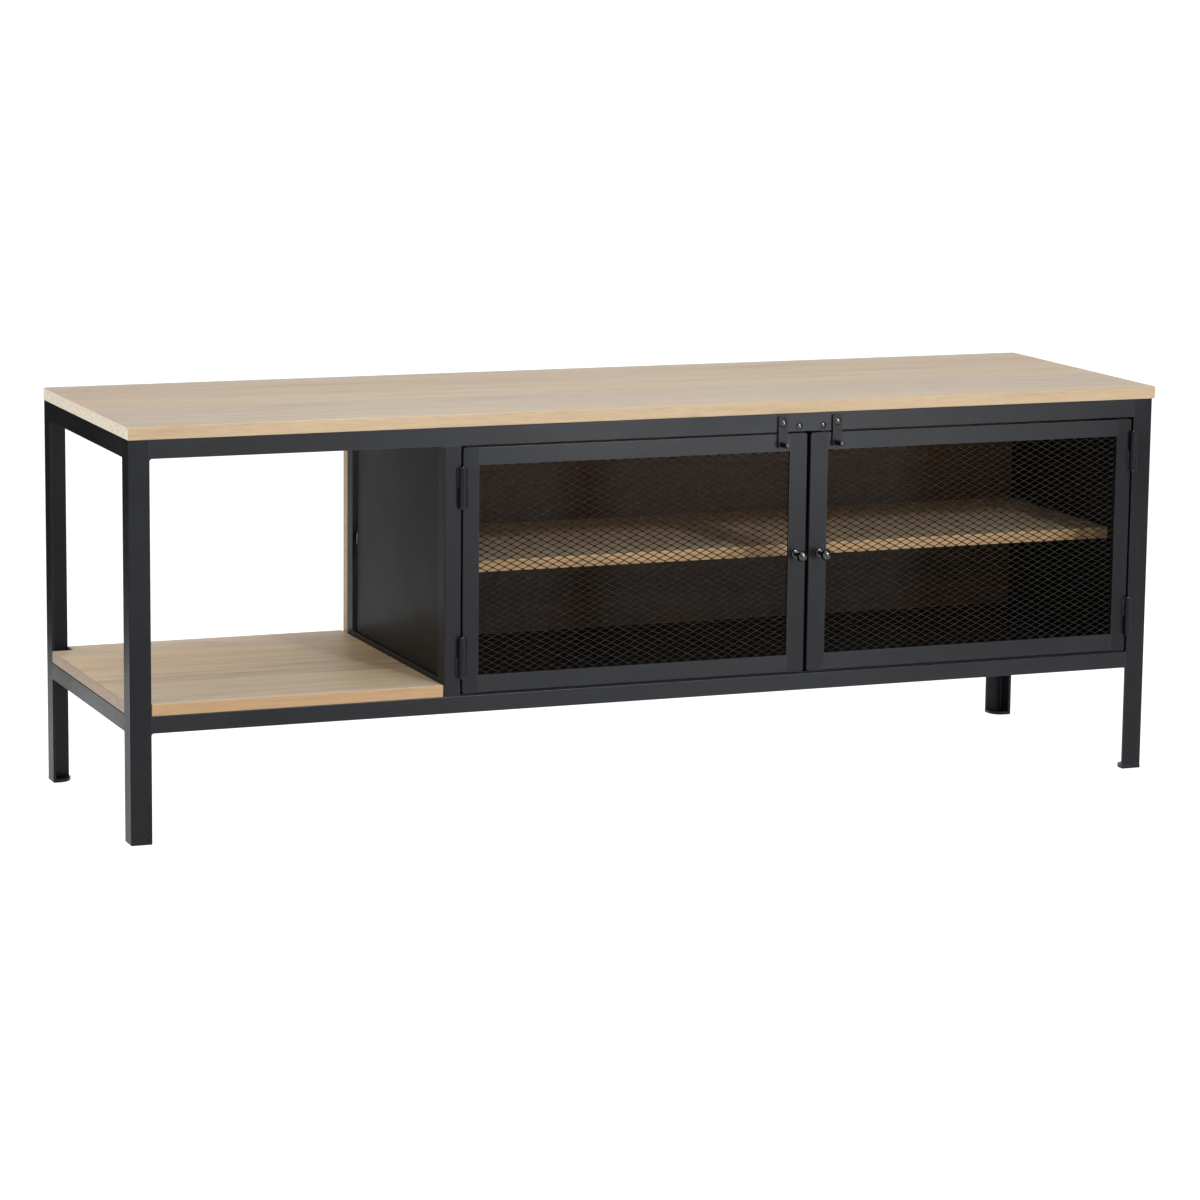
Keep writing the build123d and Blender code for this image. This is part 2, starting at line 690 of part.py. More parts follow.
def knob():
    """Turned ball knob on a short stem, tapped from its base."""
    with BuildPart() as piece:
        with BuildSketch(Plane.XY):
            Circle(KNOB_BASE_R)
        extrude(amount=KNOB_BASE_T)
        rim = piece.edges().filter_by(GeomType.CIRCLE).sort_by(Axis.Z)[-1]
        fillet(rim, radius=KNOB_BASE_T * 0.6)
        with BuildSketch(Plane.XY):
            Circle(KNOB_STEM_R)
        extrude(amount=KNOB_BALL_AT)
        with Locations((0, 0, KNOB_BALL_AT)):
            Sphere(KNOB_BALL_R)
        with BuildSketch(Plane.XY):
            Circle(KNOB_TAP_R)
        extrude(amount=KNOB_TAP_DEPTH, mode=Mode.SUBTRACT)
    return piece.part


knob_screw = screw(KNOB_SCREW_R, KNOB_SCREW_LEN, KNOB_SCREW_HEAD_R, KNOB_SCREW_HEAD_H)

for side, (hinge_x, meeting_x), toward in (("left", LEFT_DOOR, 1), ("right", RIGHT_DOOR, -1)):
    knob_x = MEETING_X + KNOB_OFFSETS[side]
    save(stile(hinge_x, toward, DOOR_HINGE_STILE), f"{side}_door_hinge_stile")
    save(
        stile(meeting_x, -toward, DOOR_MEETING_STILE, [(knob_x, KNOB_Z)]),
        f"{side}_door_meeting_stile",
    )
    stiles = sorted((hinge_x + toward * STEEL_T, meeting_x - toward * STEEL_T))
    opening = sorted((hinge_x + toward * DOOR_HINGE_STILE, meeting_x - toward * DOOR_MEETING_STILE))
    save(door_rail(stiles, opening, DOOR_Z1, -1), f"{side}_door_top_rail")
    save(door_rail(stiles, opening, DOOR_Z0, 1), f"{side}_door_bottom_rail")
    save(mesh_panel(opening), f"{side}_door_mesh")
    save(copies(knob(), [(knob_x, FRONT, KNOB_Z)], FACING_FRONT), f"{side}_door_knob")
    screw_place = [(knob_x, FRONT + STEEL_T, KNOB_Z)]
    save(copies(knob_screw, screw_place, FACING_FRONT), f"{side}_door_knob_screw")


# ------------------------------------------------------------------ latches
def latch_strap(x):
    """Flat swivel strap, square at both ends with its corners eased."""
    with BuildPart() as strap:
        with BuildSketch(facing(FRONT - LATCH_PLAY)) as face:
            with Locations((x, LATCH_PIVOT_Z + LATCH_RISE)):
                Rectangle(LATCH_W, LATCH_LEN + LATCH_RISE, align=(Align.CENTER, Align.MAX))
            fillet(face.vertices(), radius=LATCH_END_R)
            with Locations((x, LATCH_PIVOT_Z)):
                Circle(RIVET_HOLE_R, mode=Mode.SUBTRACT)
            with Locations((x, LATCH_PIVOT_Z - LATCH_PIN_DROP)):
                Circle(RIVET_HOLE_R, mode=Mode.SUBTRACT)
        extrude(amount=LATCH_T)
    return strap.part


def latch_pin():
    """Round finger pin with a domed tip, its shank set through the strap."""
    with BuildPart() as pin:
        with BuildSketch(Plane.XZ):
            with BuildLine():
                dome_arc(LATCH_PIN_R, LATCH_PIN_R, LATCH_PIN_LEN - LATCH_PIN_R)
                Polyline(
                    (0, LATCH_PIN_LEN),
                    (0, -LATCH_T),
                    (RIVET_R, -LATCH_T),
                    (RIVET_R, 0),
                    (LATCH_PIN_R, 0),
                    (LATCH_PIN_R, LATCH_PIN_LEN - LATCH_PIN_R),
                )
            make_face()
        revolve(axis=Axis.Z)
    return pin.part


strap_face = FRONT - LATCH_PLAY - LATCH_T
for side, x in zip(("left", "right"), latch_x):
    save(latch_strap(x), f"{side}_latch_strap")
    pin_place = [(x, strap_face, LATCH_PIVOT_Z - LATCH_PIN_DROP)]
    save(copies(latch_pin(), pin_place, FACING_FRONT), f"{side}_latch_pin")

pivot_places = [(x, strap_face - LATCH_PLAY, LATCH_PIVOT_Z) for x in latch_x]
pivot_grip = STEEL_T + LATCH_T + 2 * LATCH_PLAY
save(copies(rivet(pivot_grip), pivot_places, FACING_FRONT), "latch_pivot_rivets")
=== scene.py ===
import math

import bmesh
import bpy
from mathutils import Matrix, Vector


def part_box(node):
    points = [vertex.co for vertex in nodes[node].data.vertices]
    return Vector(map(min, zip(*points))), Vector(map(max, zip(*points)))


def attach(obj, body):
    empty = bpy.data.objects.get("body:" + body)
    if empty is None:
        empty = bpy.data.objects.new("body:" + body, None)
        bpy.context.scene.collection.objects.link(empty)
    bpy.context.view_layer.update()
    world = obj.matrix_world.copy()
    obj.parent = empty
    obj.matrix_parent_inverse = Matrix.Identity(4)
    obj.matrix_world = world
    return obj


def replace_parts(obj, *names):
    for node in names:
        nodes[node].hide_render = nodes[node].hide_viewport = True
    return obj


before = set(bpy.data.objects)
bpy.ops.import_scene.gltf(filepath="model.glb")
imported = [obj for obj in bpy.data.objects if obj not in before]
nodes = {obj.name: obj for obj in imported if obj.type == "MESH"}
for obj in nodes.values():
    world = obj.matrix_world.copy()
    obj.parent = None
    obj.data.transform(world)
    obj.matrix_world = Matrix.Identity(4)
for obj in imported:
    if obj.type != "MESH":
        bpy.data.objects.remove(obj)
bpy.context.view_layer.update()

MM = 0.001
scene = bpy.context.scene
scene.view_settings.view_transform = "Standard"


# ------------------------------------------------------------- node helpers
EDGE_SAMPLES = 6
EDGE_FLAT = 0.985
EDGE_SHARP = 0.86


def solid(colour, share=1.0):
    """A colour with alpha for a shader socket, scaled and kept below white."""
    return (*[min(1.0, c * share) for c in colour], 1.0)


class Material:
    """A node material. Its methods add one node each and return its output socket."""

    def __init__(self, name):
        self.material = bpy.data.materials.new(name)
        self.material.use_nodes = True
        self.tree = self.material.node_tree
        self.tree.nodes.clear()
        self.out = self.tree.nodes.new("ShaderNodeOutputMaterial")
        self.shader = self.tree.nodes.new("ShaderNodeBsdfPrincipled")
        self.tree.links.new(self.shader.outputs[0], self.out.inputs["Surface"])
        self.where = self.tree.nodes.new("ShaderNodeTexCoord")
        self.place = self.where.outputs["Object"]

    def put(self, node, name, value):
        """Set an input socket to a number, a colour or another node's output."""
        socket = node.inputs[name]
        if isinstance(value, bpy.types.NodeSocket):
            self.tree.links.new(value, socket)
        elif value is not None:
            socket.default_value = value

    def set(self, **values):
        """Shader inputs by name, with underscores for spaces."""
        for name, value in values.items():
            self.put(self.shader, name.replace("_", " "), value)

    def math(self, operation, a, b=None):
        node = self.tree.nodes.new("ShaderNodeMath")
        node.operation = operation
        self.put(node, 0, a)
        self.put(node, 1, b)
        return node.outputs[0]

    def add(self, a, b):
        return self.math("ADD", a, b)

    def times(self, a, b):
        return self.math("MULTIPLY", a, b)

    def vector(self, operation, a, b=None, scale=None):
        node = self.tree.nodes.new("ShaderNodeVectorMath")
        node.operation = operation
        self.put(node, 0, a)
        self.put(node, 1, b)
        if scale is not None:
            self.put(node, "Scale", scale)
        return node.outputs["Value" if operation == "DOT_PRODUCT" else "Vector"]

    def stretch(self, source, scale):
        node = self.tree.nodes.new("ShaderNodeMapping")
        self.put(node, "Vector", source)
        self.put(node, "Scale", scale)
        return node.outputs[0]

    def noise(self, source, scale, detail=3.0, rough=0.5, distortion=0.0, colour=False):
        node = self.tree.nodes.new("ShaderNodeTexNoise")
        self.put(node, "Vector", source)
        self.put(node, "Scale", scale)
        self.put(node, "Detail", detail)
        self.put(node, "Roughness", rough)
        self.put(node, "Distortion", distortion)
        return node.outputs["Color" if colour else "Fac"]

    def cells(self, source, scale):
        """Distance to the nearest of a scatter of points."""
        node = self.tree.nodes.new("ShaderNodeTexVoronoi")
        self.put(node, "Vector", source)
        self.put(node, "Scale", scale)
        return node.outputs["Distance"]

    def white(self, source):
        """A random number from 0 to 1 for each value."""
        node = self.tree.nodes.new("ShaderNodeTexWhiteNoise")
        node.noise_dimensions = "1D"
        self.put(node, "W", source)
        return node.outputs["Value"]

    def split(self, source):
        node = self.tree.nodes.new("ShaderNodeSeparateXYZ")
        self.put(node, 0, source)
        return node.outputs

    def join(self, x, y, z):
        node = self.tree.nodes.new("ShaderNodeCombineXYZ")
        for i, value in enumerate((x, y, z)):
            self.put(node, i, value)
        return node.outputs[0]

    def remap(self, value, low, high, to_low=0.0, to_high=1.0, smooth=False):
        node = self.tree.nodes.new("ShaderNodeMapRange")
        node.interpolation_type = "SMOOTHSTEP" if smooth else "LINEAR"
        self.put(node, "Value", value)
        self.put(node, "From Min", low)
        self.put(node, "From Max", high)
        self.put(node, "To Min", to_low)
        self.put(node, "To Max", to_high)
        return node.outputs[0]

    def mix(self, share, a, b, blend="MIX"):
        """Two colours blended; the numbers are the node's colour sockets."""
        node = self.tree.nodes.new("ShaderNodeMix")
        node.data_type = "RGBA"
        node.blend_type = blend
        node.clamp_factor = True
        self.put(node, 0, share)
        self.put(node, 6, a)
        self.put(node, 7, b)
        return node.outputs[2]

    def tint(self, colour, factor):
        """A colour multiplied by another."""
        return self.mix(1.0, colour, factor, "MULTIPLY")

    def ramp(self, value, stops):
        node = self.tree.nodes.new("ShaderNodeValToRGB")
        self.put(node, 0, value)
        line = node.color_ramp.elements
        while len(line) < len(stops):
            line.new(0.5)
        for element, (at, colour) in zip(line, stops):
            element.position = at
            element.color = (*colour, 1.0)
        return node.outputs[0]

    def bump(self, height, strength, distance):
        node = self.tree.nodes.new("ShaderNodeBump")
        self.put(node, "Height", height)
        self.put(node, "Strength", strength)
        self.put(node, "Distance", distance)
        return node.outputs[0]

    def edge(self, radius):
        """1 on sharp edges, 0 on flat faces."""
        node = self.tree.nodes.new("ShaderNodeBevel")
        node.samples = EDGE_SAMPLES
        self.put(node, "Radius", radius)
        flat = self.tree.nodes.new("ShaderNodeNewGeometry").outputs["Normal"]
        facing = self.vector("DOT_PRODUCT", node.outputs[0], flat)
        return self.remap(facing, EDGE_FLAT, EDGE_SHARP, smooth=True)


# ---------------------------------------------------------------- materials
BOARD_EDGE = 1.2 * MM
WOOD_RELIEF = 0.15 * MM
WOOD_SHINE = 0.4


def wood(name, grain, shift, plank, rough, end, front):
    """Sanded solid wood with its grain along X: planks glued edge to edge, growth
    rings, fibres, pores, and end grain on the faces across the grain. `grain` is the
    light, middle and dark colour, `end` the end grain's, with the light and shade on the board's ends
    painted into it, and `front` tints the side faces darker and warmer than the top as painted shade."""
    light, mid, dark = grain
    m = Material(name)
    x, y, z = m.split(m.place)
    row = m.math("FLOOR", m.math("DIVIDE", m.add(y, shift), plank))
    own = m.white(m.add(row, 3.7 + shift * 10))
    own2 = m.white(m.add(row, 11.3))
    offset = m.join(m.times(own, 7.0), m.times(own2, 3.0), m.times(own, 2.0))
    place = m.vector("ADD", m.place, offset)

    # growth rings, bent a little, with fibres over them
    warp = m.noise(m.stretch(place, (1.0, 4.0, 4.0)), scale=3.0, detail=3.0, rough=0.55, colour=True)
    sway = m.vector("SUBTRACT", warp, (0.5, 0.5, 0.5))
    bent = m.vector("ADD", place, m.vector("SCALE", sway, scale=0.035))
    rings = m.noise(m.stretch(bent, (0.55, 9.0, 9.0)), scale=5.2, detail=4.0, rough=0.55, distortion=0.6)
    thin = m.stretch(bent, (1.0, 26.0, 26.0))
    fibres = m.noise(thin, scale=12.0, detail=4.0, rough=0.62, distortion=0.2)
    fine = m.noise(m.stretch(place, (1.0, 34.0, 34.0)), scale=38.0, detail=3.0, rough=0.6)
    cloud = m.noise(m.stretch(place, (1.0, 2.2, 2.2)), scale=4.2, detail=3.0, rough=0.5)
    tone = m.remap(m.add(m.times(rings, 0.62), m.times(fibres, 0.38)), 0.34, 0.66)
    colour = m.ramp(tone, [(0.0, dark), (0.36, mid), (0.72, light), (1.0, light)])
    colour = m.mix(m.remap(cloud, 0.35, 0.7, 0.0, 0.38), colour, solid(mid))
    streak = m.remap(fine, 0.36, 0.5, 0.85, 1.0)
    colour = m.tint(colour, m.join(streak, streak, streak))

    # each plank a little different in tone
    board = m.remap(own, 0.0, 1.0, 0.93, 1.05)
    warm = m.remap(own2, 0.0, 1.0, 0.95, 1.03)
    colour = m.tint(colour, m.join(board, m.times(board, warm), m.times(warm, warm)))

    pores = m.cells(m.stretch(place, (1.0, 13.0, 13.0)), 120.0)
    patches = m.noise(place, scale=60.0, detail=2.0)
    pore_mask = m.times(m.remap(pores, 0.2, 0.05), m.remap(patches, 0.5, 0.62))
    colour = m.mix(m.times(pore_mask, 0.35), colour, solid(dark, 0.4))

    # end grain: rings seen across, with round pores; the ends' colour carries painted light on the top
    # and painted shade on the shelves
    across_x, across_y, _ = m.split(m.where.outputs["Normal"])
    ends = m.remap(m.math("ABSOLUTE", across_x), 0.6, 0.85)
    edges = m.remap(m.math("ABSOLUTE", across_y), 0.6, 0.85)
    cross = m.vector("ADD", m.join(0.0, y, z), offset)
    lines = m.noise(m.stretch(cross, (1.0, 1.0, 3.2)), scale=90.0, detail=4.0, rough=0.6, distortion=0.5)
    dots = m.remap(m.cells(cross, 900.0), 0.3, 0.1)
    end_dark = tuple(c * 0.82 for c in end)
    end_colour = m.ramp(m.remap(lines, 0.35, 0.65), [(0.0, end_dark), (0.6, end), (1.0, end)])
    end_colour = m.mix(m.times(dots, 0.25), end_colour, solid(end, 0.6))
    # Side faces across Y take the front tint: painted shade, darker and warmer than the top. End faces
    # take the end colour: painted light on the top's ends, painted shade on the shelves' ends.
    colour = m.mix(edges, colour, m.tint(colour, solid(front)))
    colour = m.mix(ends, colour, end_colour)

    colour = m.mix(m.times(m.edge(BOARD_EDGE), 0.25), colour, solid(light, 1.12))
    height = m.add(m.times(fine, 0.6), m.times(pore_mask, -1.0))
    m.set(Base_Color=colour, Normal=m.bump(height, 0.18, WOOD_RELIEF))
    m.set(Roughness=m.remap(fibres, 0.3, 0.7, rough, rough + 0.12), Specular_IOR_Level=WOOD_SHINE)
    return m.material


COAT_EDGE = 0.9 * MM
COAT_RELIEF = 0.12 * MM
COAT_SHEEN = (0.92, 0.96, 1.0)
RUBBED = (0.085, 0.083, 0.082)
DUST = (0.16, 0.155, 0.15)


def powder_coat(name, base, rough, peel=0.16, streak_along="x", shine=0.22):
    """Satin black powder coat over steel: orange peel, faint cloudiness, streaks along
    the bar, rubbed edges and a little dust."""
    m = Material(name)
    cloud = m.noise(m.place, scale=7.0, detail=3.0, rough=0.55)
    mottle = m.noise(m.place, scale=60.0, detail=4.0, rough=0.6)
    stretch = (220.0, 220.0, 8.0) if streak_along == "z" else (8.0, 220.0, 220.0)
    drawn = m.noise(m.stretch(m.place, stretch), scale=1.0, detail=3.0, rough=0.55)
    lighter = tuple(c * 1.4 + 0.001 for c in base)
    share = m.add(m.add(m.times(cloud, 0.5), m.times(mottle, 0.25)), m.times(drawn, 0.25))
    colour = m.mix(m.remap(share, 0.36, 0.64), solid(base), solid(lighter))

    wear = m.remap(m.noise(m.place, scale=140.0, detail=3.0, rough=0.6), 0.4, 0.66, 0.1, 0.6)
    colour = m.mix(m.times(m.edge(COAT_EDGE), wear), colour, solid(RUBBED))
    dusty = m.remap(m.noise(m.place, scale=35.0, detail=2.0), 0.56, 0.66)
    dust = m.times(m.remap(m.cells(m.place, 260.0), 0.08, 0.03), dusty)
    colour = m.mix(m.times(dust, 0.35), colour, solid(DUST))

    orange = m.noise(m.place, scale=620.0, detail=2.0, rough=0.5)
    height = m.add(m.times(orange, 0.7), m.times(mottle, 0.6))
    m.set(Base_Color=colour, Normal=m.bump(height, peel, COAT_RELIEF))
    uneven = m.add(cloud, m.times(drawn, 0.5))
    m.set(Roughness=m.remap(uneven, 0.5, 1.0, rough - 0.05, rough + 0.08))
    m.set(Specular_IOR_Level=shine, Specular_Tint=solid(COAT_SHEEN))
    return m.material


def gunmetal(name):
    """Blackened steel, burnished, for the knobs and rivets: dark, with clear highlights."""
    m = Material(name)
    cloud = m.noise(m.place, scale=180.0, detail=3.0, rough=0.6)
    mottle = m.noise(m.place, scale=900.0, detail=3.0, rough=0.6)
    colour = m.ramp(cloud, [(0.3, (0.05, 0.05, 0.052)), (0.7, (0.085, 0.085, 0.087))])
    m.set(Base_Color=colour, Metallic=1.0, Roughness=m.remap(mottle, 0.3, 0.7, 0.16, 0.28))
    m.set(Normal=m.bump(mottle, 0.06, 0.04 * MM))
    return m.material


def plated(name):
    """Zinc-plated screw steel, a little dull and spotted."""
    m = Material(name)
    spots = m.noise(m.place, scale=420.0, detail=4.0, rough=0.6)
    turned = m.noise(m.stretch(m.place, (900.0, 900.0, 40.0)), scale=1.0, detail=2.0)
    colour = m.ramp(spots, [(0.3, (0.30, 0.30, 0.31)), (0.7, (0.52, 0.52, 0.53))])
    m.set(Base_Color=colour, Metallic=1.0, Roughness=m.remap(turned, 0.3, 0.7, 0.3, 0.5))
    m.set(Normal=m.bump(turned, 0.15, 0.05 * MM))
    return m.material


# Grain: the light, the middle and the dark colour.
TOP_GRAIN = ((0.56, 0.445, 0.325), (0.52, 0.405, 0.288), (0.43, 0.32, 0.215))
SHELF_GRAIN = ((0.755, 0.60, 0.41), (0.67, 0.51, 0.335), (0.47, 0.325, 0.19))
# The back panel's grain is darkened to about half its wood colour: painted shade inside the cabinet.
BACK_GRAIN_PAINTED_SHADE = ((0.175, 0.092, 0.034), (0.138, 0.071, 0.024), (0.092, 0.044, 0.013))
# End colours: the top's is lightened, painted light on its lit ends; the shelves' is darkened, painted
# shade; the back panel's is its own light wood.
TOP_END_PAINTED_LIGHT = (0.80, 0.70, 0.56)
SHELF_END_PAINTED_SHADE = (0.375, 0.275, 0.20)
BACK_END = (0.5, 0.38, 0.25)
# Front tints: side faces darker and warmer than the top, painted shade; the cabinet shelf's front is
# kept lighter than the open shelf's, painted light.
TOP_FRONT_PAINTED_SHADE = (0.875, 0.785, 0.655)
SHELF_FRONT_PAINTED_SHADE = (0.61, 0.465, 0.30)
INNER_FRONT_PAINTED_LIGHT = (0.80, 0.62, 0.42)
BACK_FRONT = (1.0, 0.95, 0.9)
# The uprights' black is a little darker than the rails': painted shade on the same powder coat.
UPRIGHT_BLACK_PAINTED_SHADE = (0.0058, 0.0059, 0.0072)
LEVEL_BLACK = (0.0062, 0.0063, 0.0076)
SHEET_BLACK = (0.0045, 0.0042, 0.0038)
MESH_BLACK = (0.0062, 0.0044, 0.0024)
looks = {
    "wood_top": wood("wood_top", TOP_GRAIN, 0.5, 0.0955, 0.44, TOP_END_PAINTED_LIGHT, TOP_FRONT_PAINTED_SHADE),
    "wood_shelf": wood("wood_shelf", SHELF_GRAIN, 0.53, 0.095, 0.44, SHELF_END_PAINTED_SHADE, SHELF_FRONT_PAINTED_SHADE),
    "wood_inner": wood("wood_inner", SHELF_GRAIN, 0.41, 0.095, 0.44, SHELF_END_PAINTED_SHADE, INNER_FRONT_PAINTED_LIGHT),
    "wood_back": wood("wood_back", BACK_GRAIN_PAINTED_SHADE, 0.57, 0.12, 0.55, BACK_END, BACK_FRONT),
    "steel_z": powder_coat("steel_upright", UPRIGHT_BLACK_PAINTED_SHADE, 0.345, streak_along="z", shine=0.165),
    "steel_x": powder_coat("steel_level", LEVEL_BLACK, 0.345),
    "sheet": powder_coat("steel_sheet", SHEET_BLACK, 0.38, peel=0.1, shine=0.12),
    "mesh": powder_coat("steel_mesh", MESH_BLACK, 0.5, peel=0.05, shine=0.02),
    "hardware": gunmetal("steel_hardware"),
    "screws": plated("screw_steel"),
}


def look_of(node):
    """The material that a CAD node takes."""
    if node == "wood_top":
        return "wood_top"
    if node == "open_bay_shelf":
        return "wood_shelf"
    if node == "cabinet_shelf":
        return "wood_inner"
    if node == "back_panel":
        return "wood_back"
    if node in ("divider_panel", "right_side_panel", "cabinet_floor"):
        return "sheet"
    if "screw" in node:
        return "screws"
    if any(word in node for word in ("knob", "latch_pin", "rivet", "hinge_pins")):
        return "hardware"
    if any(word in node for word in ("leg", "post", "stile", "foot", "strap", "barrel")):
        return "steel_z"
    return "steel_x"


for name, piece in nodes.items():
    piece.data.materials.clear()
    piece.data.materials.append(looks[look_of(name)])


def steel_piece(name, verts, faces, body, look, slot):
    """A mesh piece that rides on one body and takes one steel look."""
    data = bpy.data.meshes.new(name)
    data.from_pydata(verts, [], faces)
    data.validate()
    bm = bmesh.new()
    bm.from_mesh(data)
    bmesh.ops.recalc_face_normals(bm, faces=bm.faces)
    bm.to_mesh(data)
    bm.free()
    piece = bpy.data.objects.new(name, data)
    scene.collection.objects.link(piece)
    data.materials.append(looks[look])
    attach(piece, body)
    return piece


# --------------------------------------------------------- expanded metal
PITCH_W = 15.0 * MM
PITCH_H = 7.5 * MM
STRAND_W = 1.05 * MM
STRAND_T = 0.8 * MM
BOND = 2.0 * MM
TILT = math.radians(25)
SHEET_MIDDLE = 1.15 * MM
TINY = 1e-6


def strand_section():
    """The corners of a tilted strand, as distances along Y and Z from its middle."""
    half_w, half_t = STRAND_W / 2, STRAND_T / 2
    turn, lean = math.cos(TILT), math.sin(TILT)
    corners = ((-half_w, -half_t), (half_w, -half_t), (half_w, half_t), (-half_w, half_t))
    return [(v * turn + u * lean, u * turn - v * lean) for u, v in corners]


def expanded_metal(name, node, body):
    """Raised expanded metal: rows of slit sheet pulled into zigzag strands, each row
    joined to the next at its bonds."""
    low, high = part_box(node)
    middle_y = low.y + SHEET_MIDDLE
    rows = int((high.z - low.z) / (PITCH_H / 2))
    start_z = (low.z + high.z) / 2 - rows * PITCH_H / 4
    swing = PITCH_H / 4 - STRAND_W / 2
    section = strand_section()
    sides = len(section)
    verts, faces = [], []
    for row in range(rows + 1):
        z = start_z + row * PITCH_H / 2
        sign = 1 if row % 2 else -1
        stations = []
        x = low.x
        while x < high.x - TINY:
            stations += [(x, sign * swing), (min(x + BOND, high.x), sign * swing)]
            x += PITCH_W / 2
            sign = -sign
        if stations[-1][0] < high.x - TINY:
            stations.append((high.x, stations[-1][1]))
        base = len(verts)
        for station_x, rise in stations:
            verts += [(station_x, middle_y + dy, z + rise + dz) for dy, dz in section]
        last = len(verts) - sides
        for a in range(base, last, sides):
            for c in range(sides):
                d = (c + 1) % sides
                faces.append((a + c, a + sides + c, a + sides + d, a + d))
        faces.append([base + c for c in range(sides)][::-1])
        faces.append([last + c for c in range(sides)])
    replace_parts(steel_piece(name, verts, faces, body, "mesh", "mesh"), node)


for side in ("left", "right"):
    expanded_metal(f"{side}_door_expanded_metal", f"{side}_door_mesh", f"{side}_door")

# ------------------------------------------------------------------- welds
FILLET_R = 4.5 * MM
FILLET_SINK = 0.4 * MM
FILLET_INSET = 0.25 * MM
FILLET_STEPS = 8
STEEL = 3.0 * MM


def add_fillet(verts, faces, corner, along, across, inward):
    """A hollow weld fillet in the angle between two bars: `along` and `across` lead
    away from the corner in the face, and `inward` leads into the steel."""
    along, across, inward = Vector(along), Vector(across), Vector(inward)
    start = Vector(corner) - (along + across) * FILLET_SINK
    outline = [(0.0, 0.0)]
    for i in range(FILLET_STEPS + 1):
        angle = math.radians(90 * i / FILLET_STEPS)
        outline.append((FILLET_R * (1 - math.sin(angle)), FILLET_R * (1 - math.cos(angle))))
    base = len(verts)
    for depth in (FILLET_INSET, STEEL - FILLET_INSET):
        for u, v in outline:
            verts.append(start + along * u + across * v + inward * depth)
    n = len(outline)
    faces.append(list(range(base, base + n)))
    faces.append(list(range(base + 2 * n - 1, base + n - 1, -1)))
    for i in range(n):
        j = (i + 1) % n
        faces.append((base + i, base + j, base + n + j, base + n + i))


def weld_fillets():
    """Fillets where the rails meet the legs and the divider post."""
    near, leg_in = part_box("front_left_leg")
    leg_far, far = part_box("rear_right_leg")
    under_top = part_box("top_front_rail")[0].z
    under_bottom, over_bottom = (corner.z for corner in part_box("bottom_front_rail"))
    post_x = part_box("divider_front_post")[0].x
    left, front, right, rear = near.x, near.y, far.x, far.y
    verts, faces = [], []
    down, rise = (0, 0, -1), (0, 0, 1)
    for x, toward in ((leg_in.x, (1, 0, 0)), (post_x, (-1, 0, 0))):
        add_fillet(verts, faces, (x, front, under_top), toward, down, (0, 1, 0))
    for x, toward in ((leg_in.x, (1, 0, 0)), (leg_far.x, (-1, 0, 0))):
        add_fillet(verts, faces, (x, front, under_bottom), toward, down, (0, 1, 0))
        add_fillet(verts, faces, (x, rear, under_bottom), toward, down, (0, -1, 0))
        add_fillet(verts, faces, (x, rear, under_top), toward, down, (0, -1, 0))
    for x, inward in ((left, (1, 0, 0)), (right, (-1, 0, 0))):
        for y, toward in ((leg_in.y, (0, 1, 0)), (leg_far.y, (0, -1, 0))):
            add_fillet(verts, faces, (x, y, under_top), toward, down, inward)
            add_fillet(verts, faces, (x, y, under_bottom), toward, down, inward)
    for y, toward in ((leg_in.y, (0, 1, 0)), (leg_far.y, (0, -1, 0))):
        add_fillet(verts, faces, (right, y, over_bottom), toward, rise, (-1, 0, 0))
    return verts, faces


steel_piece("weld_fillets", *weld_fillets(), "frame", "steel_x", "black_steel")

BARREL_HALF = 23.2 * MM
BEAD_R = 2.1 * MM
BEAD_MIN_R = 0.05 * MM
BEAD_FLATNESS = 0.8
BEAD_SWAY = 0.35 * MM
BEAD_SIDE_INSET = 1.0 * MM
BEAD_SINK = 0.2 * MM
BEAD_END_INSET = 0.4 * MM
BEAD_STEPS = 46
BEAD_SIDES = 12


def add_bead(verts, faces, x, y, z0, z1, phase):
    """A rippled weld bead, uneven in width, with rounded ends."""
    base = len(verts)
    for i in range(BEAD_STEPS + 1):
        t = i / BEAD_STEPS
        z = z0 + (z1 - z0) * t
        taper = math.sqrt(max(0.0, 1 - abs(2 * t - 1) ** 7))
        ripple = 1 + 0.10 * math.sin(2 * math.pi * 13 * t + phase)
        ripple += 0.12 * math.sin(9.0 * t + 1.7 * phase)
        swell = 1 + 0.28 * math.exp(-(((t - 0.94) / 0.09) ** 2))
        radius = max(BEAD_R * taper * ripple * swell, BEAD_MIN_R)
        middle_x = x + BEAD_SWAY * math.sin(11 * t + phase * 2.3)
        for k in range(BEAD_SIDES):
            angle = 2 * math.pi * k / BEAD_SIDES
            across, deep = radius * math.cos(angle), radius * BEAD_FLATNESS * math.sin(angle)
            verts.append((middle_x + across, y + deep, z))
    for i in range(BEAD_STEPS):
        for k in range(BEAD_SIDES):
            a, b = base + i * BEAD_SIDES + k, base + i * BEAD_SIDES + (k + 1) % BEAD_SIDES
            faces.append((a, b, b + BEAD_SIDES, a + BEAD_SIDES))
    faces.append([base + k for k in range(BEAD_SIDES)][::-1])
    faces.append([base + BEAD_STEPS * BEAD_SIDES + k for k in range(BEAD_SIDES)])


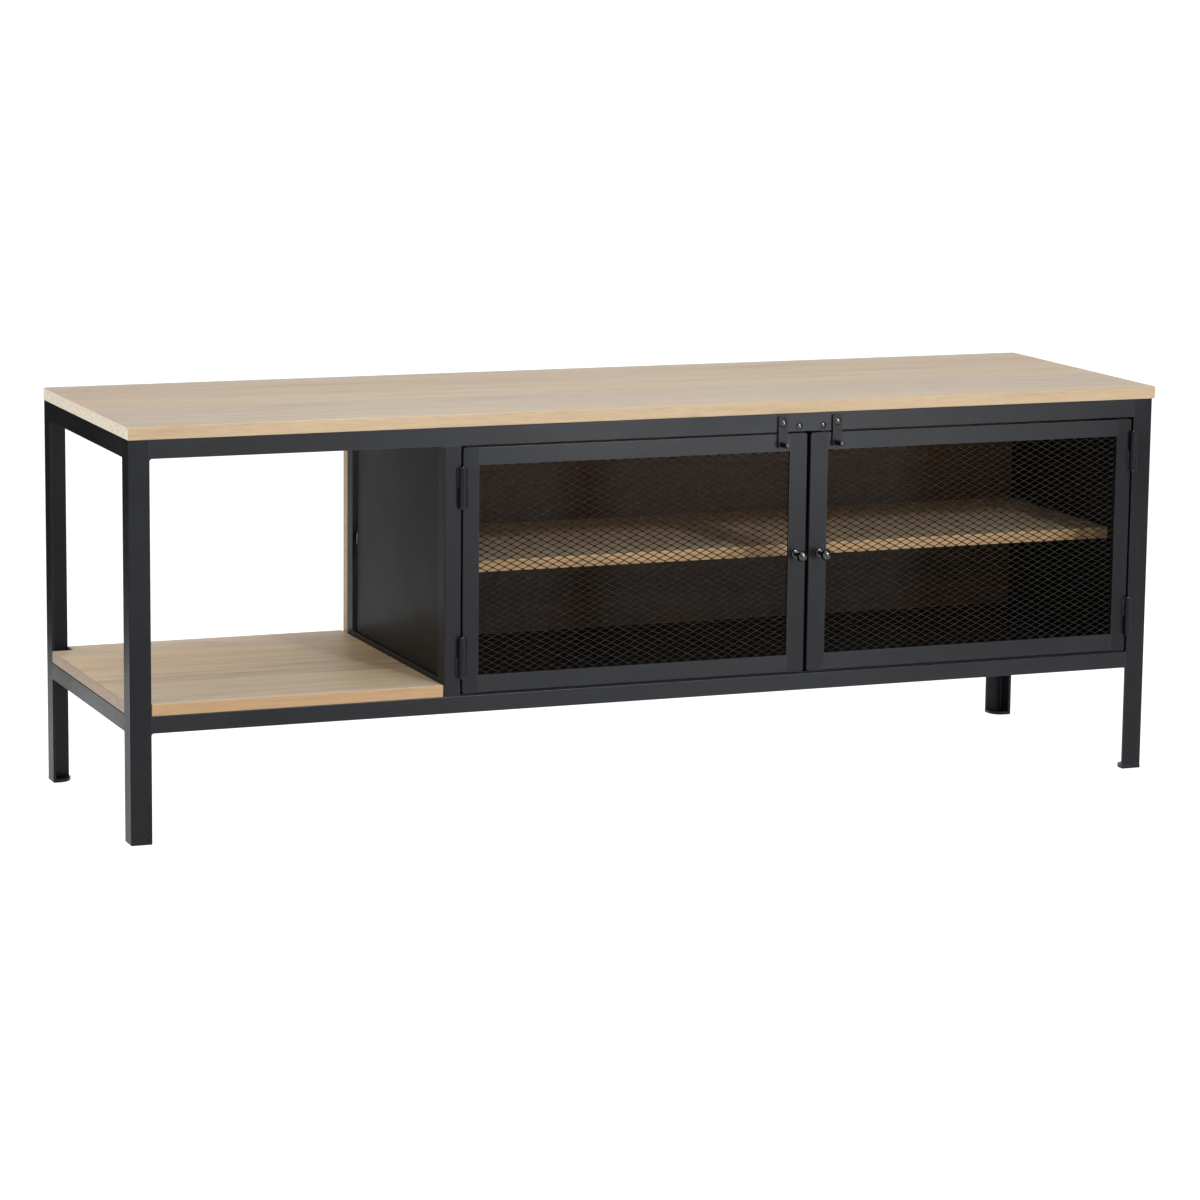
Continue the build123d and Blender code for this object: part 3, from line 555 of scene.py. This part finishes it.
# The barrels' node, its body, the side in X that is welded, and the ripple's phase.
hinge_beads = (
    ("left_hinge_frame_barrels", "frame", "low", 0.3),
    ("left_door_hinge_barrels", "left_door", "high", 1.9),
    ("right_hinge_frame_barrels", "frame", "high", 3.1),
    ("right_door_hinge_barrels", "right_door", "low", 4.4),
)
for node, body, welded, phase in hinge_beads:
    low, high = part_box(node)
    x = low.x + BEAD_SIDE_INSET if welded == "low" else high.x - BEAD_SIDE_INSET
    y = high.y - BEAD_SINK
    verts, faces = [], []
    for start, turn in ((low.z, phase), (high.z - BARREL_HALF, phase + 0.8)):
        bottom, top = start + BEAD_END_INSET, start + BARREL_HALF - BEAD_END_INSET
        add_bead(verts, faces, x, y, bottom, top, turn)
    bead = steel_piece(f"{node}_beads", verts, faces, body, "steel_z", "hardware")
    for face in bead.data.polygons:
        face.use_smooth = True


# -------------------------------------------------------------------- stage
def stage_sheet(name, corners, look):
    """One flat sheet of the studio."""
    data = bpy.data.meshes.new(name)
    data.from_pydata(corners, [], [(0, 1, 2, 3)])
    data.materials.append(look.material)
    sheet = bpy.data.objects.new(name, data)
    scene.collection.objects.link(sheet)
    return sheet


FLOOR_CORNERS = [(-40, -40, 0), (40, -40, 0), (40, 80, 0), (-40, 80, 0)]
FLOOR_DULL = (0.25, 0.25, 0.25)
FLOOR_BRIGHT = (0.27, 0.27, 0.27)
floor_look = Material("floor_paint")
tone = floor_look.noise(floor_look.place, scale=0.8, detail=2.0)
floor_look.set(Base_Color=floor_look.ramp(tone, [(0.3, FLOOR_DULL), (0.7, FLOOR_BRIGHT)]))
floor_look.set(Roughness=0.9, Specular_IOR_Level=0.1)
floor_look.set(Emission_Color=(1.0, 1.0, 1.0, 1.0), Emission_Strength=1.0)
stage_sheet("floor", FLOOR_CORNERS, floor_look)

# Black cards, seen only in the steel's reflections: one behind the stand at its left,
# one lying in front of it at its right.
card_look = Material("card_felt")
card_look.set(Base_Color=(0.01, 0.01, 0.01, 1), Roughness=1.0, Specular_IOR_Level=0.0)
cards = {
    "card_rear": [(-3.6, 0.97, 0), (-0.52, 0.97, 0), (-0.52, 0.97, 2.0), (-3.6, 0.97, 2.0)],
    "card_right": [(0.85, -0.9, 0.005), (5.0, -0.9, 0.005), (5.0, -4.2, 0.005), (2.2, -4.2, 0.005)],
}
for name, corners in cards.items():
    card = stage_sheet(name, corners, card_look)
    card.visible_camera = card.visible_diffuse = card.visible_shadow = False

WORLD_LOW = 0.14
WORLD_HIGH = 0.55
WORLD_BACK = 0.7


def studio_world():
    """Soft white surroundings: dim at the horizon, brighter overhead and low behind."""
    world = bpy.data.worlds.new("studio")
    world.use_nodes = True
    tree = world.node_tree
    where = tree.nodes.new("ShaderNodeTexCoord").outputs["Generated"]
    split = tree.nodes.new("ShaderNodeSeparateXYZ")
    tree.links.new(where, split.inputs[0])
    depth, height = split.outputs[1], split.outputs[2]

    def span(value, low, high, to_low, to_high):
        node = tree.nodes.new("ShaderNodeMapRange")
        node.interpolation_type = "SMOOTHSTEP"
        tree.links.new(value, node.inputs["Value"])
        numbers = {"From Min": low, "From Max": high, "To Min": to_low, "To Max": to_high}
        for name, number in numbers.items():
            node.inputs[name].default_value = number
        return node.outputs[0]

    def combine(operation, a, b):
        node = tree.nodes.new("ShaderNodeMath")
        node.operation = operation
        tree.links.new(a, node.inputs[0])
        tree.links.new(b, node.inputs[1])
        return node.outputs[0]

    above = span(height, 0.0, 1.0, WORLD_LOW, WORLD_HIGH)
    behind = span(depth, 0.2, 0.75, 0.0, WORLD_BACK)
    near_horizon = span(height, 0.3, 0.6, 1.0, 0.0)
    strength = combine("ADD", above, combine("MULTIPLY", behind, near_horizon))
    background = tree.nodes["Background"]
    tree.links.new(strength, background.inputs["Strength"])
    background.inputs["Color"].default_value = (1.0, 1.0, 1.0, 1)
    return world


scene.world = studio_world()


def softbox(name, at, to, size, power):
    """A rectangular studio light at one point, aimed at another."""
    data = bpy.data.lights.new(name, "AREA")
    data.shape = "RECTANGLE"
    data.size, data.size_y = size
    data.energy = power
    lamp = bpy.data.objects.new(name, data)
    scene.collection.objects.link(lamp)
    lamp.location = at
    lamp.rotation_euler = (Vector(to) - Vector(at)).to_track_quat("-Z", "Y").to_euler()
    return lamp


# Name, place, aim, width and height in metres, and power in watts.
lights = (
    ("key", (0.78, -3.80, 2.20), (0.2, -0.1, 0.3), (0.36, 0.36), 60),
    ("side", (1.55, -3.25, 2.50), (0.0, 0.0, 0.3), (0.9, 0.9), 18),
    ("front_fill", (-1.40, -3.70, 1.50), (0.2, 0.0, 0.3), (0.5, 0.5), 11),
    ("overhead", (0.0, 0.2, 2.6), (0.0, 0.0, 0.3), (2.6, 1.8), 18),
    ("left_fill", (-3.2, -1.0, 1.0), (-0.6, 0.0, 0.3), (1.6, 1.6), 22),
)
# These show only in reflections.
reflected_lights = (
    ("sheen", (1.62, -3.70, 0.45), (0.1, 0.0, 0.45), (0.45, 0.6), 42),
    ("sparkle", (0.55, -2.30, 2.40), (0.1, -0.17, 0.35), (1.1, 1.1), 100),
    ("crown", (0.0, 0.1, 2.20), (0.1, -0.17, 0.35), (1.2, 0.8), 24),
)
for light in lights:
    softbox(*light)
for light in reflected_lights:
    softbox(*light).visible_diffuse = False

# ------------------------------------------------------------------- camera
EYE = Vector((-1.87588, -4.64332, 1.09956))
YAW = math.radians(21.888)
PITCH = math.radians(9.9726)
ROLL = math.radians(0.6414)
SENSOR_WIDTH = 36.0
FOCAL_SHARE = 3.4657833
CLIP_END = 200
ahead = Vector((math.sin(YAW) * math.cos(PITCH), math.cos(YAW) * math.cos(PITCH), -math.sin(PITCH)))
level = Vector((math.cos(YAW), -math.sin(YAW), 0))
up = level.cross(ahead)
right = level * math.cos(ROLL) + up * math.sin(ROLL)
up = up * math.cos(ROLL) - level * math.sin(ROLL)
camera_data = bpy.data.cameras.new("camera")
camera_data.sensor_width = SENSOR_WIDTH
camera_data.lens = SENSOR_WIDTH * FOCAL_SHARE
camera_data.clip_end = CLIP_END
camera = bpy.data.objects.new("camera", camera_data)
scene.collection.objects.link(camera)
camera.matrix_world = Matrix.Translation(EYE) @ Matrix((right, up, -ahead)).transposed().to_4x4()
scene.camera = camera
